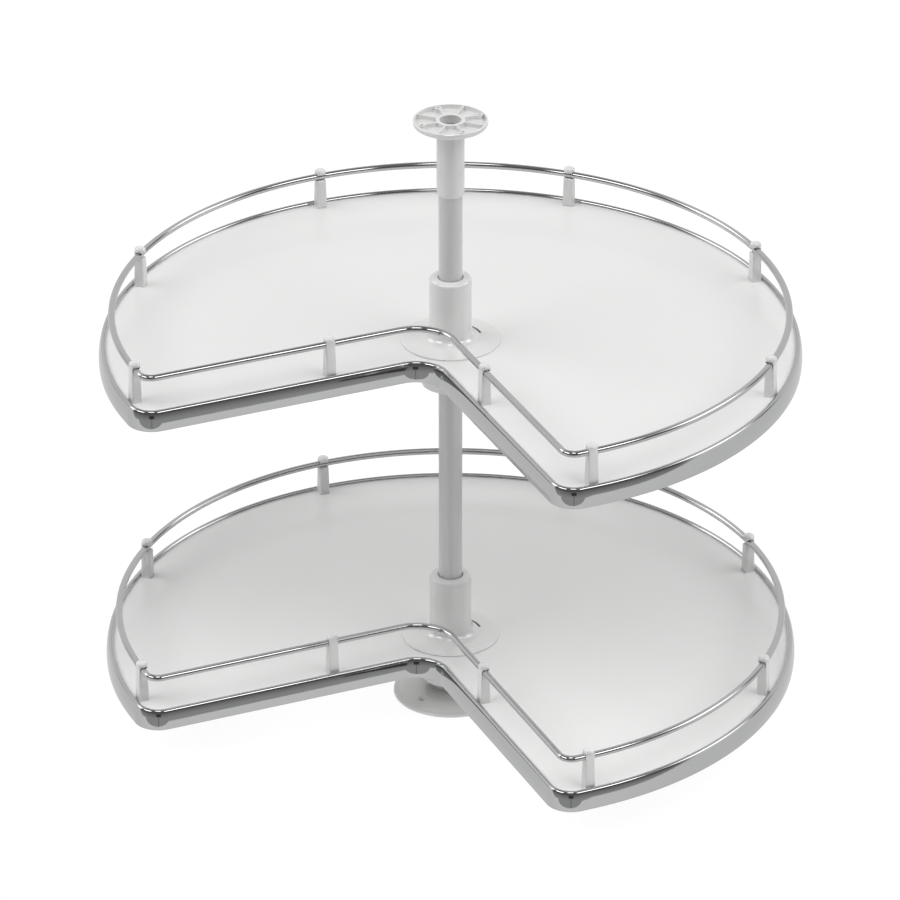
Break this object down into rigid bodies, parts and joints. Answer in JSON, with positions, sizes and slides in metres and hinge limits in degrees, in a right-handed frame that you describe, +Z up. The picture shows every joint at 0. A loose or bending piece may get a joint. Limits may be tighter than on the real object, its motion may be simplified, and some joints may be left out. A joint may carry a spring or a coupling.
{
  "type": "corner cabinet carousel",
  "caption": "Revolving fitting for a corner cabinet: a pole between a floor flange and a telescopic ceiling flange carries notched round trays with a bright edge band and a gallery rail.",
  "frame": {"origin": "on the pole's axis, in the plane of the floor flange's underside", "axes": "+Z up along the pole; the notch of both shelves lies between -X and -Y, so +X and +Y point to the cabinet's back walls"},
  "size_m": [0.82, 0.82, 0.75],
  "materials": {
    "white_board": "white melamine facing, smooth and slightly glossy",
    "chrome": "polished chrome",
    "white_plastic": "moulded, semi-gloss",
    "flange_plastic": "moulded, satin",
    "pole_paint": "light grey powder coat, satin",
    "bush_plastic": "plain moulded bearing plastic",
    "cage_plastic": "moulded",
    "steel": "bright zinc plate",
    "dark_steel": "black oxide",
    "bearing_steel": "ground and hardened"
  },
  "bodies": {
    "root": {"floor_flange": "flange_plastic", "pole": "pole_paint", "foot_plug": "bush_plastic", "foot_screw": "steel", "pole_end_plug": "bush_plastic", "lower_support_collar": "steel", "lower_grub_screw": "dark_steel", "lower_fixed_race": "bearing_steel", "lower_ball_cage": "cage_plastic", "lower_balls": "bearing_steel"},
    "ceiling_fitting": {"ceiling_flange": "white_plastic", "sleeve_lock_screw": "steel"},
    "upper_stop": {"upper_support_collar": "steel", "upper_grub_screw": "dark_steel", "upper_fixed_race": "bearing_steel", "upper_ball_cage": "cage_plastic", "upper_balls": "bearing_steel"},
    "lower_shelf": {"lower_board": "white_board", "lower_edge_band": "chrome", "lower_rail": "chrome", "lower_hub": "white_plastic", "lower_top_bush": "bush_plastic", "lower_foot_bush": "bush_plastic", "lower_bearing_housing": "white_plastic", "lower_housing_screws": "steel", "lower_post_screws": "steel", "lower_turning_race": "bearing_steel", "lower_post_1": "white_plastic", "lower_post_2": "white_plastic", "lower_post_3": "white_plastic", "lower_post_4": "white_plastic", "lower_post_5": "white_plastic", "lower_post_6": "white_plastic", "lower_post_7": "white_plastic", "lower_post_8": "white_plastic", "lower_post_9": "white_plastic"},
    "upper_shelf": {"upper_board": "white_board", "upper_edge_band": "chrome", "upper_rail": "chrome", "upper_hub": "white_plastic", "upper_top_bush": "bush_plastic", "upper_foot_bush": "bush_plastic", "upper_bearing_housing": "white_plastic", "upper_housing_screws": "steel", "upper_post_screws": "steel", "upper_turning_race": "bearing_steel", "upper_post_1": "white_plastic", "upper_post_2": "white_plastic", "upper_post_3": "white_plastic", "upper_post_4": "white_plastic", "upper_post_5": "white_plastic", "upper_post_6": "white_plastic", "upper_post_7": "white_plastic", "upper_post_8": "white_plastic", "upper_post_9": "white_plastic"}
  },
  "joints": [
    {"name": "ceiling_telescope", "type": "slide", "parent": "root", "child": "ceiling_fitting", "axis": [0, 0, 1], "range_m": [-0.025, 0.03]},
    {"name": "upper_stop_height", "type": "slide", "parent": "root", "child": "upper_stop", "axis": [0, 0, 1], "range_m": [-0.12, 0.06]},
    {"name": "upper_shelf_turn", "type": "hinge", "parent": "upper_stop", "child": "upper_shelf", "pos_m": [0, 0, 0.469], "axis": [0, 0, 1], "continuous": true},
    {"name": "lower_shelf_turn", "type": "hinge", "parent": "root", "child": "lower_shelf", "pos_m": [0, 0, 0.077], "axis": [0, 0, 1], "continuous": true}
  ]
}
